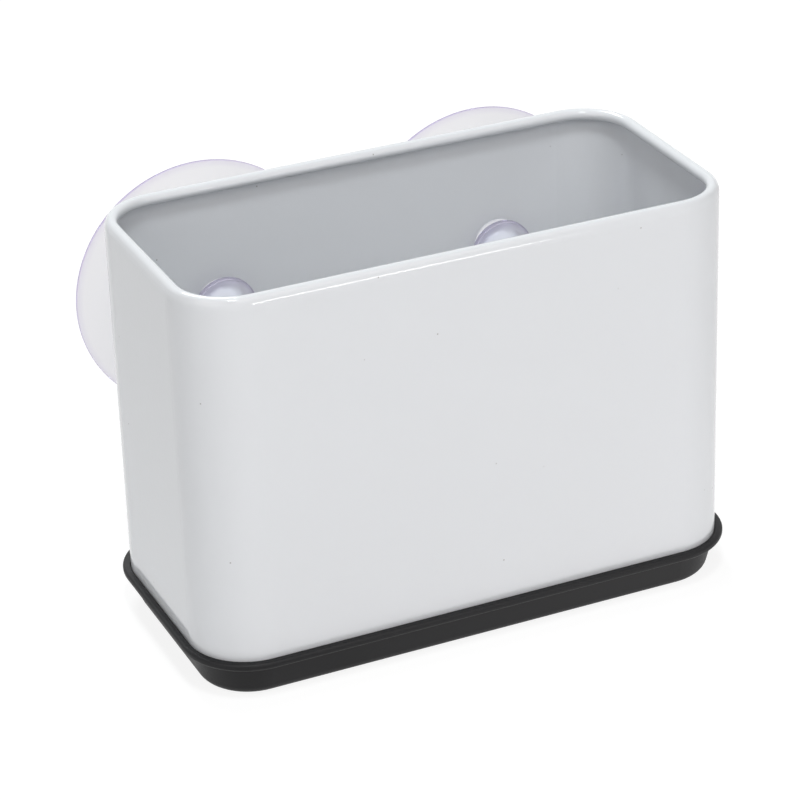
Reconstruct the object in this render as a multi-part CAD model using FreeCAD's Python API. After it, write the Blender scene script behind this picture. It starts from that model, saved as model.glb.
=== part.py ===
# Sponge holder: a painted sheet steel sleeve that stands in a black drip tray, and that two clear
# suction cups, pushed through holes in its back, can hold on a smooth wall.
# Sizes are millimetres. The origin is the middle of the tray's flat underside, with +X along the
# width, +Y towards the wall and +Z up.
import FreeCAD
import Part
import math
import os

# Sleeve: one strip of sheet bent round to a tube, its top edge curled inwards to a smooth rim
SLEEVE_WIDTH = 140.0
SLEEVE_DEPTH = 68.3
SLEEVE_HEIGHT = 94.3
SLEEVE_CORNER_RADIUS = 15.2
SHEET_THICKNESS = 0.7
BEND_RADIUS = 4.0
BEND_TURN = 30.0
ROLL_DIAMETER = 2.9
ROLL_TURN = 270.0

# Tray: one moulding with a tapered foot, a lip round the sleeve's cut edge and a plug wall inside it
FOOT_HEIGHT = 8.8
FOOT_SETBACK = 0.2
FOOT_DRAFT = 14.3
FOOT_EDGE_ROUND = 3.0
LIP_HEIGHT = 2.0
LIP_OVERHANG = 2.0
LIP_TOP_ROUND = 0.7
LIP_UNDER_ROUND = 1.0
LIP_CLEARANCE = 0.2
SEAT_DEPTH = 0.9
PLUG_RISE = 8.0
PLUG_THICKNESS = 1.7
PLUG_CLEARANCE = 0.15
PLUG_LEAD_IN = 0.6
FLOOR_THICKNESS = 2.0
RIB_WIDTH = 2.4
RIB_HEIGHT = 2.5
RIB_CHAMFER = 0.6
RIB_PITCH = 16.0
RIB_END_GAP = 5.0

# Suction cups: soft clear mouldings of a thin dished disc, a neck and a domed head
CUP_DIAMETER = 65.6
CUP_SPACING = 9.8
CUP_STANDOFF = 13.2
CUP_EDGE = 1.0
CUP_LAND = 1.0
CUP_HOLLOW = 8.5
HOLLOW_FLOOR_DIAMETER = 16.0
COLLAR_DIAMETER = 18.0
COLLAR_LENGTH = 1.0
COLLAR_CLEARANCE = 0.3
NECK_DIAMETER = 9.4
NECK_PLAY = 3.0
LEFT_NECK_GAP = 0.8
RIGHT_NECK_GAP = 0.2
HEAD_DIAMETER = 16.2
HEAD_HEIGHT = 6.0
HEAD_EDGE = 1.2
HEAD_CLEARANCE = 2.2
HOLE_BELOW_RIM = 32.6

# Levels and places that follow from the sizes above
LIP_TOP = FOOT_HEIGHT + LIP_HEIGHT
SEAT_LEVEL = LIP_TOP - SEAT_DEPTH
RIM_TOP = SEAT_LEVEL + SLEEVE_HEIGHT
WALL_BACK = SLEEVE_DEPTH / 2
HOLE_LEVEL = RIM_TOP - HOLE_BELOW_RIM
HOLE_DIAMETER = NECK_DIAMETER + NECK_PLAY
CUP_PITCH = CUP_DIAMETER + CUP_SPACING

JOIN_TOLERANCE = 1e-6
ORIGIN = FreeCAD.Vector(0, 0, 0)
ALONG_X = FreeCAD.Vector(1, 0, 0)
ALONG_Y = FreeCAD.Vector(0, 1, 0)
UP = FreeCAD.Vector(0, 0, 1)


def section_point(across, height):
    """A point of a section drawn in the XZ plane."""
    return FreeCAD.Vector(across, 0, height)


def lines(*points):
    """The straight edges of a section from each point to the next."""
    stops = [section_point(*point) for point in points]
    return [Part.LineSegment(start, end).toShape() for start, end in zip(stops, stops[1:])]


def on_circle(centre, radius, degrees):
    """The point of a section's circle at an angle from straight across."""
    angle = math.radians(degrees)
    return (centre[0] + radius * math.cos(angle), centre[1] + radius * math.sin(angle))


def turn(centre, radius, start, end):
    """A round edge of a section, about a centre from one angle to another."""
    stops = (start, (start + end) / 2, end)
    return Part.Arc(*(section_point(*on_circle(centre, radius, stop)) for stop in stops)).toShape()


def section_face(edges):
    """The face inside a closed run of edges."""
    return Part.Face(Part.Wire(edges))


def rounded_section(corners):
    """A section from its corners (across, height, rounding): each corner is cut by a tangent arc."""
    stops = []
    for index, (across, height, rounding) in enumerate(corners):
        corner = section_point(across, height)
        before = (section_point(*corners[index - 1][:2]) - corner).normalize()
        after = (section_point(*corners[(index + 1) % len(corners)][:2]) - corner).normalize()
        half_angle = before.getAngle(after) / 2
        reach = rounding / math.tan(half_angle)
        bisector = (before + after).normalize()
        middle = corner + bisector * (rounding / math.sin(half_angle) - rounding)
        stops.append((corner + before * reach, middle, corner + after * reach, rounding))
    edges = []
    for index, (start, middle, end, rounding) in enumerate(stops):
        if rounding > 0:
            edges.append(Part.Arc(start, middle, end).toShape())
        next_start = stops[(index + 1) % len(stops)][0]
        if not end.isEqual(next_start, JOIN_TOLERANCE):
            edges.append(Part.LineSegment(end, next_start).toShape())
    return section_face(edges)


def carry_round(section):
    """Carry a section round the sleeve's outline: revolved at the four corners, straight between.

    The section's zero across is the sleeve's outer face, and outwards is positive.
    """
    corner_x = SLEEVE_WIDTH / 2 - SLEEVE_CORNER_RADIUS
    corner_y = SLEEVE_DEPTH / 2 - SLEEVE_CORNER_RADIUS
    corners = [
        (corner_x, corner_y, 2 * corner_y),
        (-corner_x, corner_y, 2 * corner_x),
        (-corner_x, -corner_y, 2 * corner_y),
        (corner_x, -corner_y, 2 * corner_x),
    ]
    runs = []
    for quarter, (x, y, run_length) in enumerate(corners):
        placed = section.copy()
        placed.translate(ALONG_X * SLEEVE_CORNER_RADIUS)
        placed.rotate(ORIGIN, UP, 90 * quarter)
        centre = FreeCAD.Vector(x, y, 0)
        placed.translate(centre)
        back_along_run = FreeCAD.Rotation(UP, 90 * quarter).multVec(-ALONG_Y)
        runs.append(placed.revolve(centre, UP, 90))
        runs.append(placed.extrude(back_along_run * run_length))
    return runs[0].multiFuse(runs[1:]).removeSplitter()


def rounded_plate(offset, thickness):
    """A plate on the floor whose outline stands off the sleeve's outer face by offset."""
    half_x = SLEEVE_WIDTH / 2 + offset
    half_y = SLEEVE_DEPTH / 2 + offset
    plate = Part.makeBox(2 * half_x, 2 * half_y, thickness, FreeCAD.Vector(-half_x, -half_y, 0))
    upright = [edge for edge in plate.Edges if edge.BoundBox.ZLength > thickness / 2]
    return plate.makeFillet(SLEEVE_CORNER_RADIUS + offset, upright)


def hole_x(side):
    """Where the hole of the left (-1) or right (1) suction cup lies along the width."""
    return side * CUP_PITCH / 2


def make_sleeve():
    """The sheet wall, bent in gently and then curled tight, with two round holes in its back."""
    roll_outside = ROLL_DIAMETER / 2
    roll_inside = roll_outside - SHEET_THICKNESS
    bend_inside = BEND_RADIUS - SHEET_THICKNESS
    centre_gap = BEND_RADIUS - roll_outside
    bend_rise = centre_gap * math.sin(math.radians(BEND_TURN))
    bend_level = RIM_TOP - roll_outside - bend_rise
    bend_centre = (-BEND_RADIUS, bend_level)
    roll_centre = on_circle(bend_centre, centre_gap, BEND_TURN)
    sleeve = carry_round(
        section_face(
            [
                *lines(
                    (-SHEET_THICKNESS, bend_level),
                    (-SHEET_THICKNESS, SEAT_LEVEL),
                    (0, SEAT_LEVEL),
                    (0, bend_level),
                ),
                turn(bend_centre, BEND_RADIUS, 0, BEND_TURN),
                turn(roll_centre, roll_outside, BEND_TURN, ROLL_TURN),
                *lines(
                    on_circle(roll_centre, roll_outside, ROLL_TURN),
                    on_circle(roll_centre, roll_inside, ROLL_TURN),
                ),
                turn(roll_centre, roll_inside, ROLL_TURN, BEND_TURN),
                turn(bend_centre, bend_inside, BEND_TURN, 0),
            ]
        )
    )
    for side in (-1, 1):
        middle = FreeCAD.Vector(hole_x(side), 0, HOLE_LEVEL)
        sleeve = sleeve.cut(Part.makeCylinder(HOLE_DIAMETER / 2, SLEEVE_DEPTH, middle, ALONG_Y))
    return sleeve


def make_base_tray():
    """The tray's wall section carried round, its floor plate, and drip ribs across the floor."""
    plug_outside = -SHEET_THICKNESS - PLUG_CLEARANCE
    plug_inside = plug_outside - PLUG_THICKNESS
    plug_top = LIP_TOP + PLUG_RISE
    draft = math.tan(math.radians(FOOT_DRAFT))
    foot_outside = -FOOT_SETBACK - FOOT_HEIGHT * draft
    floor_inside = plug_inside - (FOOT_HEIGHT - FLOOR_THICKNESS) * draft
    floor_edge = min(floor_inside, foot_outside) - FOOT_EDGE_ROUND
    lip_round_limit = LIP_HEIGHT / 2
    wall = rounded_section(
        [
            (floor_edge, 0, 0),
            (foot_outside, 0, FOOT_EDGE_ROUND),
            (-FOOT_SETBACK, FOOT_HEIGHT, 0),
            (LIP_OVERHANG, FOOT_HEIGHT, min(LIP_UNDER_ROUND, lip_round_limit)),
            (LIP_OVERHANG, LIP_TOP, min(LIP_TOP_ROUND, lip_round_limit)),
            (LIP_CLEARANCE, LIP_TOP, 0),
            (LIP_CLEARANCE, SEAT_LEVEL, 0),
            (plug_outside, SEAT_LEVEL, 0),
            (plug_outside, plug_top - PLUG_LEAD_IN, 0),
            (plug_outside - PLUG_LEAD_IN, plug_top, 0),
            (plug_inside, plug_top, 0),
            (plug_inside, FOOT_HEIGHT, 0),
            (floor_inside, FLOOR_THICKNESS, 0),
            (floor_edge, FLOOR_THICKNESS, 0),
        ]
    )
    tray = carry_round(wall).fuse(rounded_plate(floor_edge, FLOOR_THICKNESS))
    rib_length = SLEEVE_DEPTH + 2 * floor_inside - 2 * RIB_END_GAP
    rib_span = SLEEVE_WIDTH / 2 - SLEEVE_CORNER_RADIUS
    ribs_each_side = int(rib_span // RIB_PITCH)
    for step in range(-ribs_each_side, ribs_each_side + 1):
        tray = tray.fuse(drip_rib(step * RIB_PITCH, rib_length))
    return tray.removeSplitter()


def drip_rib(x, length):
    """A low rib with round ends and a chamfered top that keeps the sponge out of the water."""
    half_width = RIB_WIDTH / 2
    half_straight = length / 2 - half_width
    top = FLOOR_THICKNESS + RIB_HEIGHT
    rib = Part.makeBox(
        RIB_WIDTH,
        2 * half_straight,
        top,
        FreeCAD.Vector(x - half_width, -half_straight, 0),
    )
    ends = [
        Part.makeCylinder(half_width, top, FreeCAD.Vector(x, y, 0), UP)
        for y in (-half_straight, half_straight)
    ]
    rib = rib.fuse(ends).removeSplitter()
    top_edges = [edge for edge in rib.Edges if edge.BoundBox.ZMin > FLOOR_THICKNESS]
    return rib.makeChamfer(RIB_CHAMFER, top_edges)


def make_suction_cup(side, neck_gap):
    """A cup turned about its own axis, hanging in its hole with neck_gap left under the neck.

    Along its axis, zero is the back face of the sleeve and the wall side is positive.
    """
    rim = CUP_DIAMETER / 2
    land_inside = rim - CUP_LAND
    rim_front = CUP_STANDOFF - CUP_EDGE
    hollow_floor = CUP_STANDOFF - CUP_HOLLOW
    collar = COLLAR_DIAMETER / 2
    collar_back = COLLAR_CLEARANCE + COLLAR_LENGTH
    neck = NECK_DIAMETER / 2
    head = HEAD_DIAMETER / 2
    head_back = -SHEET_THICKNESS - HEAD_CLEARANCE
    head_front = head_back - HEAD_HEIGHT
    dome_foot = head_back - HEAD_EDGE
    dome_height = HEAD_HEIGHT - HEAD_EDGE
    dome_radius = (head**2 + dome_height**2) / (2 * dome_height)
    dome_centre = (0, head_front + dome_radius)
    dome_start = math.degrees(math.atan2(dome_foot - dome_centre[1], head))
    cup = section_face(
        [
            *lines(
                (0, head_front),
                (0, hollow_floor),
                (HOLLOW_FLOOR_DIAMETER / 2, hollow_floor),
                (land_inside, CUP_STANDOFF),
                (rim, CUP_STANDOFF),
                (rim, rim_front),
                (collar, collar_back),
                (collar, COLLAR_CLEARANCE),
                (neck, COLLAR_CLEARANCE),
                (neck, head_back),
                (head, head_back),
                (head, dome_foot),
            ),
            turn(dome_centre, dome_radius, dome_start, -90),
        ]
    ).revolve(ORIGIN, UP, 360)
    cup.rotate(ORIGIN, ALONG_X, -90)
    hang = NECK_PLAY / 2 - neck_gap
    cup.translate(FreeCAD.Vector(hole_x(side), WALL_BACK, HOLE_LEVEL - hang))
    return cup


PIECES = {
    "sleeve": make_sleeve(),
    "base_tray": make_base_tray(),
    "suction_cup_left": make_suction_cup(-1, LEFT_NECK_GAP),
    "suction_cup_right": make_suction_cup(1, RIGHT_NECK_GAP),
}

os.makedirs("parts", exist_ok=True)
for name, shape in PIECES.items():
    shape.exportStep(f"parts/{name}.step")
    box = shape.optimalBoundingBox()
    low = (round(box.XMin, 2), round(box.YMin, 2), round(box.ZMin, 2))
    high = (round(box.XMax, 2), round(box.YMax, 2), round(box.ZMax, 2))
    print(name, "solids", len(shape.Solids), "valid", shape.isValid(), "low", low, "high", high)
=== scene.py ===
import math

import bpy
import numpy as np
from mathutils import Matrix, Vector


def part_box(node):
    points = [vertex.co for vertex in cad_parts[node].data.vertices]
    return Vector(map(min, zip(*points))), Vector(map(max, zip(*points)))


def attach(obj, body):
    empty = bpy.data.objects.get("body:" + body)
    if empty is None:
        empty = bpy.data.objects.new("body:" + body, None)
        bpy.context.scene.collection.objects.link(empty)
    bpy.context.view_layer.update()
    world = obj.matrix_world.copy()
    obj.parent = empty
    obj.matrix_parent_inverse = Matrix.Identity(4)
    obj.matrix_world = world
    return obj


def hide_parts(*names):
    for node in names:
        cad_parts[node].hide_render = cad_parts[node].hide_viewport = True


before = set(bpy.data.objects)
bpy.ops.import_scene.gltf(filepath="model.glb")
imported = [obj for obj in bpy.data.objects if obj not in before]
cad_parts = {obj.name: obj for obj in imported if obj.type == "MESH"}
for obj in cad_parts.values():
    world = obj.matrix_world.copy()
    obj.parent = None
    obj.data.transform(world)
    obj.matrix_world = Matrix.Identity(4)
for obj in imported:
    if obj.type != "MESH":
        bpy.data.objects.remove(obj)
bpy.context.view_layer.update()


# Sleeve: a strip of sheet steel bent round to a rectangular tube, its top edge curled inwards.
# It is coated and stoved in gloss white enamel, which leaves a faint orange peel, a slow waver in
# the shine and a few specks of dust, and it stands in the tray's groove by its own weight.
MM = 0.001
ENAMEL_WHITE = (0.845, 0.868, 0.897)
DUST_GREY = (0.4, 0.39, 0.38)
DUST_CELLS_PER_METRE = 143.0
SPECK_CORE = 0.018
SPECK_EDGE = 0.034
SPECK_STRENGTH = 0.8


def blank_material(name):
    """A new node material, its node tree and its Principled BSDF."""
    material = bpy.data.materials.new(name)
    material.use_nodes = True
    tree = material.node_tree
    return material, tree, tree.nodes["Principled BSDF"]


def waver_group():
    """A node group whose height wavers over the surface: a broad and a fine noise, mixed by a share."""
    group = bpy.data.node_groups.new("surface_waver", "ShaderNodeTree")
    for socket in ("Broad Scale", "Fine Scale", "Fine Share"):
        group.interface.new_socket(socket, in_out="INPUT", socket_type="NodeSocketFloat")
    group.interface.new_socket("Height", in_out="OUTPUT", socket_type="NodeSocketFloat")
    given = group.nodes.new("NodeGroupInput")
    result = group.nodes.new("NodeGroupOutput")
    place = group.nodes.new("ShaderNodeTexCoord")
    mix = group.nodes.new("ShaderNodeMix")
    for scale, side in (("Broad Scale", "A"), ("Fine Scale", "B")):
        noise = group.nodes.new("ShaderNodeTexNoise")
        noise.inputs["Detail"].default_value = 1.0
        group.links.new(place.outputs["Object"], noise.inputs["Vector"])
        group.links.new(given.outputs[scale], noise.inputs["Scale"])
        group.links.new(noise.outputs["Fac"], mix.inputs[side])
    group.links.new(given.outputs["Fine Share"], mix.inputs["Factor"])
    group.links.new(mix.outputs["Result"], result.inputs["Height"])
    return group


def add_waver(tree, shader, broad_scale, fine_scale, fine_share, depth):
    """Bumps a shader by the waver, up to depth metres high, and gives the waver's height."""
    waver = tree.nodes.new("ShaderNodeGroup")
    waver.node_tree = surface_waver
    waver.inputs["Broad Scale"].default_value = broad_scale
    waver.inputs["Fine Scale"].default_value = fine_scale
    waver.inputs["Fine Share"].default_value = fine_share
    bump = tree.nodes.new("ShaderNodeBump")
    bump.inputs["Strength"].default_value = 1.0
    bump.inputs["Distance"].default_value = depth
    tree.links.new(waver.outputs["Height"], bump.inputs["Height"])
    tree.links.new(bump.outputs["Normal"], shader.inputs["Normal"])
    return waver.outputs["Height"]


def link_range(tree, value, socket, given, wanted):
    """Links a value to a socket, moved from the given range to the wanted one and held within it."""
    moved = tree.nodes.new("ShaderNodeMapRange")
    moved.inputs["From Min"].default_value, moved.inputs["From Max"].default_value = given
    moved.inputs["To Min"].default_value, moved.inputs["To Max"].default_value = wanted
    tree.links.new(value, moved.inputs["Value"])
    tree.links.new(moved.outputs["Result"], socket)


def colour_blend(tree, first, second):
    """A node that goes from the first colour to the second as its factor goes from 0 to 1."""
    blend = tree.nodes.new("ShaderNodeMix")
    blend.data_type = "RGBA"
    blend.inputs["A"].default_value = (*first, 1.0)
    blend.inputs["B"].default_value = (*second, 1.0)
    return blend


surface_waver = waver_group()

white_enamel, tree, enamel = blank_material("white_enamel")
enamel.inputs["IOR"].default_value = 1.5
height = add_waver(tree, enamel, broad_scale=70.0, fine_scale=600.0, fine_share=0.35, depth=0.04 * MM)
link_range(tree, height, enamel.inputs["Roughness"], given=(0.3, 0.7), wanted=(0.06, 0.1))
place = tree.nodes.new("ShaderNodeTexCoord")
dust_cells = tree.nodes.new("ShaderNodeTexVoronoi")
dust_cells.inputs["Scale"].default_value = DUST_CELLS_PER_METRE
tree.links.new(place.outputs["Object"], dust_cells.inputs["Vector"])
dusty = colour_blend(tree, ENAMEL_WHITE, DUST_GREY)
link_range(
    tree,
    dust_cells.outputs["Distance"],
    dusty.inputs["Factor"],
    given=(SPECK_CORE, SPECK_EDGE),
    wanted=(SPECK_STRENGTH, 0.0),
)
tree.links.new(dusty.outputs["Result"], enamel.inputs["Base Color"])
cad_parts["sleeve"].material_slots[0].material = white_enamel


# Base tray: a black plastic moulding with a finely eroded, matt skin. Its lip goes round the foot
# of the sleeve, its plug wall holds the sleeve from inside by friction, and ribs lift the sponge.
PLASTIC_DARK = (0.004, 0.004, 0.005)
PLASTIC_LIGHT = (0.009, 0.009, 0.01)
EROSION_RANGE = (0.35, 0.65)

black_plastic, tree, plastic = blank_material("black_plastic")
plastic.inputs["IOR"].default_value = 1.33
height = add_waver(tree, plastic, broad_scale=500.0, fine_scale=2600.0, fine_share=0.7, depth=0.025 * MM)
link_range(tree, height, plastic.inputs["Roughness"], given=EROSION_RANGE, wanted=(0.44, 0.56))
mottled = colour_blend(tree, PLASTIC_DARK, PLASTIC_LIGHT)
link_range(tree, height, mottled.inputs["Factor"], given=EROSION_RANGE, wanted=(0.0, 1.0))
tree.links.new(mottled.outputs["Result"], plastic.inputs["Base Color"])
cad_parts["base_tray"].material_slots[0].material = black_plastic


# Suction cups: two soft clear vinyl mouldings with a faint violet tint, each a dished disc, a
# collar, a neck and a domed head. The head is squeezed through a hole in the sleeve's back and
# holds the cup. Places along a cup count from the sleeve's back, and towards the wall is more.
SEALING_LAND = 1.0 * MM
LAND_ROUND = 0.175 * MM
DISC_EDGE = 1.0 * MM
DISC_EDGE_ROUND = 0.35 * MM
DISC_SAG_POWER = 1.35
DISC_POINTS = 32
HOLLOW_DEPTH = 8.5 * MM
HOLLOW_POINTS = 32
COLLAR_RADIUS = 9.0 * MM
COLLAR_FRONT = 0.3 * MM
COLLAR_BACK = 1.3 * MM
COLLAR_ROUND = 0.3 * MM
NECK_RADIUS = 4.7 * MM
NECK_FOOT_ROUND = 0.5 * MM
NECK_TOP_ROUND = 0.6 * MM
HEAD_RADIUS = 8.1 * MM
HEAD_BACK = -2.9 * MM
BRIM_THICKNESS = 1.6 * MM
BRIM_STEP = 0.25 * MM
BRIM_BACK_ROUND = 0.4 * MM
BRIM_FRONT_ROUND = 0.2 * MM
DOME_POINTS = 28
HEAD_VIOLET = 0.6
HEAD_VIOLET_POWER = 8
EDGE_VIOLET_POWER = 250
VINYL_CLEAR = (0.87, 0.86, 0.865)
VINYL_VIOLET = (0.54, 0.46, 0.76)
SEEN_THROUGH_CLEAR = (0.9, 0.895, 0.905)
SEEN_THROUGH_VIOLET = (0.76, 0.68, 0.86)
SEEN_THROUGH_SHARE = 0.4


def rounded_run(corners, steps=7):
    """Points along straight runs between corners (across, along, radius), each inner corner an arc.

    The arc's centre lies on the corner's bisector, its ends are the radius over the tangent of half
    the corner's angle away, and between them its spokes turn evenly.
    """
    corners = np.array(corners, float)
    point, radius = corners[1:-1, :2], corners[1:-1, 2:]
    before, after = corners[:-2, :2] - point, corners[2:, :2] - point
    before /= np.linalg.norm(before, axis=1, keepdims=True)
    after /= np.linalg.norm(after, axis=1, keepdims=True)
    half = np.arccos(np.sum(before * after, axis=1, keepdims=True)) / 2
    bisector = (before + after) / np.linalg.norm(before + after, axis=1, keepdims=True)
    centre = point + bisector * radius / np.sin(half)
    first = point + before * radius / np.tan(half) - centre
    last = point + after * radius / np.tan(half) - centre
    turn = (np.pi - 2 * half)[:, None]
    share = np.linspace(0, 1, steps)[None, :, None]
    spokes = np.sin((1 - share) * turn) * first[:, None] + np.sin(share * turn) * last[:, None]
    arcs = centre[:, None] + spokes / np.sin(turn)
    return np.concatenate([corners[:1, :2], arcs.reshape(-1, 2), corners[-1:, :2]])


def cup_profile(rim, standoff, head_front):
    """The cup's section (radius, along), from the head's top round to the middle of the hollow.

    The head is a quarter ellipse on a straight brim, the disc's front falls back by a power of the
    distance from the collar, and the hollow is a parabola from the sealing land to its deepest
    point. The disc's edge runs on in the directions of the disc and of the parabola beside it.
    """
    swing = np.linspace(np.pi / 2, 0, DOME_POINTS)
    brim_front = HEAD_BACK - BRIM_THICKNESS
    dome_radius = HEAD_RADIUS - BRIM_STEP
    head = np.stack(
        [
            dome_radius * np.cos(swing),
            brim_front + (head_front - brim_front) * np.sin(swing),
        ],
        axis=-1,
    )
    neck = rounded_run(
        [
            (dome_radius, brim_front, 0),
            (HEAD_RADIUS, brim_front, BRIM_FRONT_ROUND),
            (HEAD_RADIUS, HEAD_BACK, BRIM_BACK_ROUND),
            (NECK_RADIUS, HEAD_BACK, NECK_TOP_ROUND),
            (NECK_RADIUS, COLLAR_FRONT, NECK_FOOT_ROUND),
            (COLLAR_RADIUS, COLLAR_FRONT, COLLAR_ROUND),
            (COLLAR_RADIUS, COLLAR_BACK, 0),
        ]
    )
    outward = np.linspace(0, 1, DISC_POINTS)
    disc_back = standoff - DISC_EDGE
    disc = np.stack(
        [
            COLLAR_RADIUS + (rim - COLLAR_RADIUS) * outward,
            COLLAR_BACK + (disc_back - COLLAR_BACK) * outward**DISC_SAG_POWER,
        ],
        axis=-1,
    )
    edge = rounded_run(
        [
            (*disc[-2], 0),
            (rim, disc_back, DISC_EDGE_ROUND),
            (rim, standoff, DISC_EDGE_ROUND),
            (rim - SEALING_LAND, standoff, LAND_ROUND),
            (rim - 2 * SEALING_LAND, standoff - 2 * HOLLOW_DEPTH * SEALING_LAND / rim, 0),
        ]
    )
    inward = np.linspace(1, 0, HOLLOW_POINTS)
    hollow = np.stack(
        [
            (rim - SEALING_LAND) * inward,
            standoff - HOLLOW_DEPTH * (1 - inward**2),
        ],
        axis=-1,
    )
    return np.concatenate([head, neck[1:], disc[1:-2], edge[1:-1], hollow[2:]])


def violet_share(profile, rim):
    """How violet the vinyl looks at each point of a section: most where one looks along the skin.

    It grows with a power of the radius, over the head's own radius on the head and over the rim's
    on the rest, where the power is so high that only the disc's edge is violet.
    """
    radius, along = profile.T
    on_head = HEAD_VIOLET * (radius / HEAD_RADIUS) ** HEAD_VIOLET_POWER
    return np.where(along < HEAD_BACK, on_head, (radius / rim) ** EDGE_VIOLET_POWER)


def turned_mesh(name, profile, violet, axis_x, start_y, axis_z, around=128):
    """A closed skin: the profile (radius, along) swept through a full turn about a line along Y.

    The profile's two ends lie on the axis, where each is one pole with a fan of triangles. The
    violet share of each profile point goes to its whole ring.
    """
    angle = np.linspace(0, 2 * np.pi, around, endpoint=False)
    radius, along = profile[1:-1, :1], profile[1:-1, 1:]
    rings = np.stack(
        [
            axis_x + radius * np.cos(angle),
            start_y + along + 0 * angle,
            axis_z + radius * np.sin(angle),
        ],
        axis=-1,
    ).reshape(-1, 3)
    poles = [(axis_x, start_y + end, axis_z) for end in profile[[0, -1], 1]]
    count = len(radius)
    here = np.arange(around)
    beside = (here + 1) % around
    row = around * np.arange(count - 1)[:, None]
    next_row = row + around
    quads = np.stack([row + here, next_row + here, next_row + beside, row + beside], axis=-1)
    last_row = (count - 1) * around
    first_pole = count * around
    fans = [
        np.stack([here, beside, np.full(around, first_pole)], axis=-1),
        np.stack([last_row + beside, last_row + here, np.full(around, first_pole + 1)], axis=-1),
    ]
    mesh = bpy.data.meshes.new(name)
    faces = quads.reshape(-1, 4).tolist() + np.concatenate(fans).tolist()
    mesh.from_pydata(np.concatenate([rings, poles]).tolist(), [], faces)
    mesh.shade_smooth()
    tint = mesh.attributes.new("violet", "FLOAT", "POINT")
    ring_violet = np.repeat(violet[1:-1], around)
    tint.data.foreach_set("value", np.concatenate([ring_violet, violet[[0, -1]]]))
    return mesh


def either_of(tree, first, second):
    """The larger of two values, which is yes where either of them is."""
    larger = tree.nodes.new("ShaderNodeMath")
    larger.operation = "MAXIMUM"
    tree.links.new(first, larger.inputs[0])
    tree.links.new(second, larger.inputs[1])
    return larger.outputs[0]


def shader_mix(tree, factor, first, second):
    """The first shader where the factor is 0, the second where it is 1, and both in between."""
    mix = tree.nodes.new("ShaderNodeMixShader")
    tree.links.new(factor, mix.inputs["Fac"])
    tree.links.new(first, mix.inputs[1])
    tree.links.new(second, mix.inputs[2])
    return mix.outputs[0]


clear_vinyl, tree, vinyl = blank_material("clear_vinyl")
vinyl.inputs["Roughness"].default_value = 0.28
vinyl.inputs["IOR"].default_value = 1.3
vinyl.inputs["Transmission Weight"].default_value = 0.78
add_waver(tree, vinyl, broad_scale=120.0, fine_scale=700.0, fine_share=0.3, depth=0.06 * MM)
violet = tree.nodes.new("ShaderNodeAttribute")
violet.attribute_name = "violet"
tinted = colour_blend(tree, VINYL_CLEAR, VINYL_VIOLET)
tree.links.new(violet.outputs["Fac"], tinted.inputs["Factor"])
tree.links.new(tinted.outputs["Result"], vinyl.inputs["Base Color"])
absorption = tree.nodes.new("ShaderNodeVolumeAbsorption")
absorption.inputs["Color"].default_value = (0.38, 0.58, 0.9, 1.0)
absorption.inputs["Density"].default_value = 20.0
pale = colour_blend(tree, SEEN_THROUGH_CLEAR, SEEN_THROUGH_VIOLET)
tree.links.new(violet.outputs["Fac"], pale.inputs["Factor"])
through = tree.nodes.new("ShaderNodeBsdfTransparent")
tree.links.new(pale.outputs["Result"], through.inputs["Color"])
path = tree.nodes.new("ShaderNodeLightPath")
lighting = either_of(tree, path.outputs["Is Shadow Ray"], path.outputs["Is Diffuse Ray"])
passing = tree.nodes.new("ShaderNodeMath")
passing.operation = "MAXIMUM"
passing.inputs[1].default_value = SEEN_THROUGH_SHARE
tree.links.new(lighting, passing.inputs[0])
clear_skin = shader_mix(tree, passing.outputs[0], vinyl.outputs[0], through.outputs[0])
output = tree.nodes["Material Output"]
tree.links.new(clear_skin, output.inputs["Surface"])
tree.links.new(absorption.outputs["Volume"], output.inputs["Volume"])

sleeve_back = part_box("sleeve")[1].y
for node in ("suction_cup_left", "suction_cup_right"):
    low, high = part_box(node)
    middle = (low + high) / 2
    rim = high.x - middle.x
    profile = cup_profile(rim, high.y - sleeve_back, low.y - sleeve_back)
    shares = violet_share(profile, rim)
    mesh = turned_mesh("vinyl_" + node, profile, shares, middle.x, sleeve_back, middle.z)
    mesh.materials.append(clear_vinyl)
    cup = bpy.data.objects.new(mesh.name, mesh)
    bpy.context.scene.collection.objects.link(cup)
    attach(cup, node)
    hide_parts(node)


# Studio: a white translucent table top between soft boxes, with a small lamp below it that lights
# the foot of the front. The camera stands in front and to the left, above the rim, with a long
# lens. The table goes down with the tray, which stands on it, and seen from below it is left out.
TABLE_HALF = 6.0
TABLE_GAP = 0.02 * MM
SHADOW_REACH = 0.4
SHADOW_END = 1.2
SHADOW_WHITE_SHARE = 0.75
AIM = Vector((0.0, 0.0, 0.055))
WARM = (1.0, 0.957, 0.94)
COOL = (0.965, 1.0, 1.01)


def white_when_seen(tree, lit, seen_strength):
    """Mixes a lit shader with plain white for rays that come from the camera, or off gloss or glass.

    Gives the mixed shader and the socket of the white's share, which is whole if nothing is linked.
    """
    path = tree.nodes.new("ShaderNodeLightPath")
    white = tree.nodes.new("ShaderNodeEmission")
    white.inputs["Strength"].default_value = seen_strength
    seen = path.outputs["Is Camera Ray"]
    for ray in ("Is Glossy Ray", "Is Transmission Ray"):
        seen = either_of(tree, seen, path.outputs[ray])
    part = tree.nodes.new("ShaderNodeMath")
    part.operation = "MULTIPLY"
    part.inputs[1].default_value = 1.0
    tree.links.new(seen, part.inputs[0])
    return shader_mix(tree, part.outputs[0], lit, white.outputs[0]), part.inputs[1]


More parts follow.
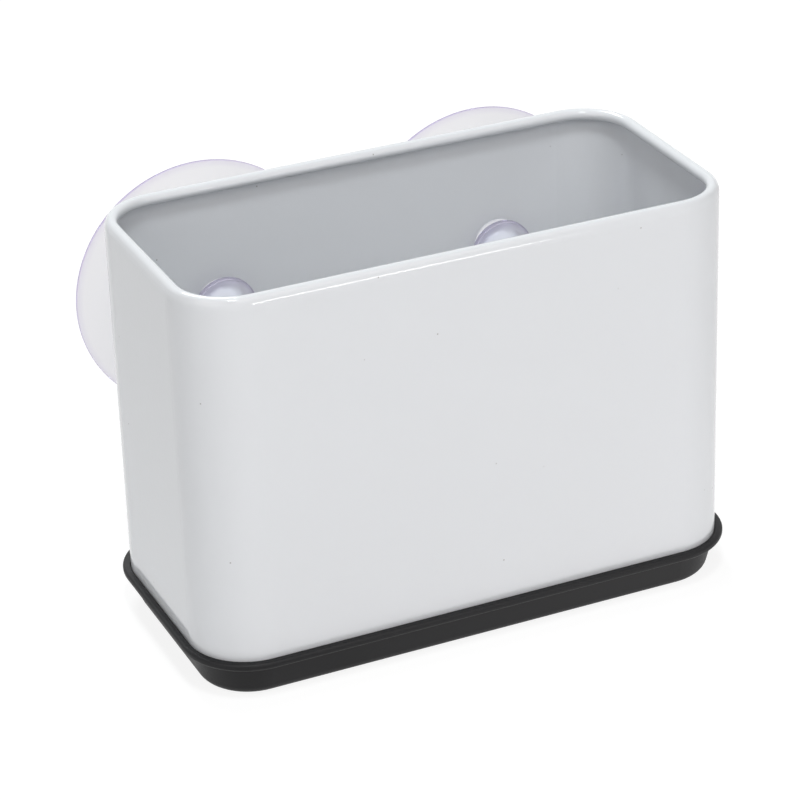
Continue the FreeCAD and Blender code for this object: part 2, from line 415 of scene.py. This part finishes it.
def soft_box(name, colour, azimuth, elevation, distance, size, power):
    """An area lamp round the holder, aimed at its middle; azimuth 0 is in front, 90 on the right."""
    turn, rise = math.radians(azimuth), math.radians(elevation)
    lamp = bpy.data.lights.new(name, "AREA")
    lamp.shape = "RECTANGLE"
    lamp.size, lamp.size_y = size
    lamp.energy = power
    lamp.color = colour
    box = bpy.data.objects.new(name, lamp)
    level = math.cos(rise)
    reach = Vector((math.sin(turn) * level, -math.cos(turn) * level, math.sin(rise)))
    box.location = AIM + distance * reach
    box.rotation_euler = reach.to_track_quat("Z", "Y").to_euler()
    bpy.context.scene.collection.objects.link(box)


table_mesh = bpy.data.meshes.new("table_top")
corners = TABLE_HALF * np.array([(-1, -1, 0), (1, -1, 0), (1, 1, 0), (-1, 1, 0)])
table_mesh.from_pydata((corners - (0, 0, TABLE_GAP)).tolist(), [], [(0, 1, 2, 3)])
table_top = bpy.data.objects.new("table_top", table_mesh)
bpy.context.scene.collection.objects.link(table_top)
table_white, tree, table = blank_material("table_white")
table.inputs["Base Color"].default_value = (0.9, 0.9, 0.9, 1.0)
table.inputs["Roughness"].default_value = 0.9
table.inputs["Specular IOR Level"].default_value = 0.0
seen_table, white_share = white_when_seen(tree, table.outputs[0], seen_strength=1.15)
place = tree.nodes.new("ShaderNodeTexCoord")
from_middle = tree.nodes.new("ShaderNodeVectorMath")
from_middle.operation = "LENGTH"
tree.links.new(place.outputs["Object"], from_middle.inputs[0])
link_range(
    tree,
    from_middle.outputs["Value"],
    white_share,
    given=(SHADOW_REACH, SHADOW_END),
    wanted=(SHADOW_WHITE_SHARE, 1.0),
)
path = tree.nodes.new("ShaderNodeLightPath")
side = tree.nodes.new("ShaderNodeNewGeometry")
open_table = either_of(tree, path.outputs["Is Shadow Ray"], side.outputs["Backfacing"])
glow_through = tree.nodes.new("ShaderNodeBsdfTransparent")
translucent = shader_mix(tree, open_table, seen_table, glow_through.outputs[0])
tree.links.new(translucent, tree.nodes["Material Output"].inputs["Surface"])
table_mesh.materials.append(table_white)
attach(table_top, "base_tray")

world = bpy.data.worlds.new("studio")
world.use_nodes = True
bpy.context.scene.world = world
tree = world.node_tree
dim = tree.nodes["Background"]
dim.inputs["Color"].default_value = (1.0, 1.0, 1.0, 1.0)
dim.inputs["Strength"].default_value = 0.06
seen_world, _ = white_when_seen(tree, dim.outputs[0], seen_strength=1.0)
tree.links.new(seen_world, tree.nodes["World Output"].inputs["Surface"])

soft_box("overhead", COOL, azimuth=-20.0, elevation=67.5, distance=1.0, size=(0.15, 0.15), power=2.95)
soft_box("left_fill", WARM, azimuth=-60.0, elevation=30.0, distance=1.3, size=(1.0, 1.0), power=3.5)
soft_box("front_fill", WARM, azimuth=10.0, elevation=45.0, distance=1.3, size=(1.0, 1.0), power=4.75)
soft_box("back_light", COOL, azimuth=180.0, elevation=53.0, distance=1.0, size=(0.4, 0.24), power=4.6)
soft_box("under_table", WARM, azimuth=40.0, elevation=-35.0, distance=0.33, size=(0.05, 0.05), power=0.12)
soft_box("rim_strip", WARM, azimuth=19.0, elevation=7.0, distance=1.05, size=(0.19, 0.1), power=0.62)

CAMERA_AZIMUTH = math.radians(-23.573)
CAMERA_ELEVATION = math.radians(26.78)
CAMERA_ROLL = math.radians(-1.984)
CAMERA_DISTANCE = 0.7807
CAMERA_TARGET = Vector((-0.0052, 0.0, 0.05165))
IMAGE_WIDTH = 800
FOCAL_PIXELS = 3206.05
lens = bpy.data.cameras.new("camera")
lens.sensor_width = 36.0
lens.lens = FOCAL_PIXELS / IMAGE_WIDTH * lens.sensor_width
camera = bpy.data.objects.new("camera", lens)
facing = (
    Matrix.Rotation(CAMERA_AZIMUTH, 4, "Z")
    @ Matrix.Rotation(math.pi / 2 - CAMERA_ELEVATION, 4, "X")
    @ Matrix.Rotation(CAMERA_ROLL, 4, "Z")
)
stand = CAMERA_TARGET + CAMERA_DISTANCE * facing.col[2].xyz
camera.matrix_world = Matrix.Translation(stand) @ facing
bpy.context.scene.collection.objects.link(camera)
bpy.context.scene.camera = camera
bpy.context.scene.view_settings.view_transform = "Standard"
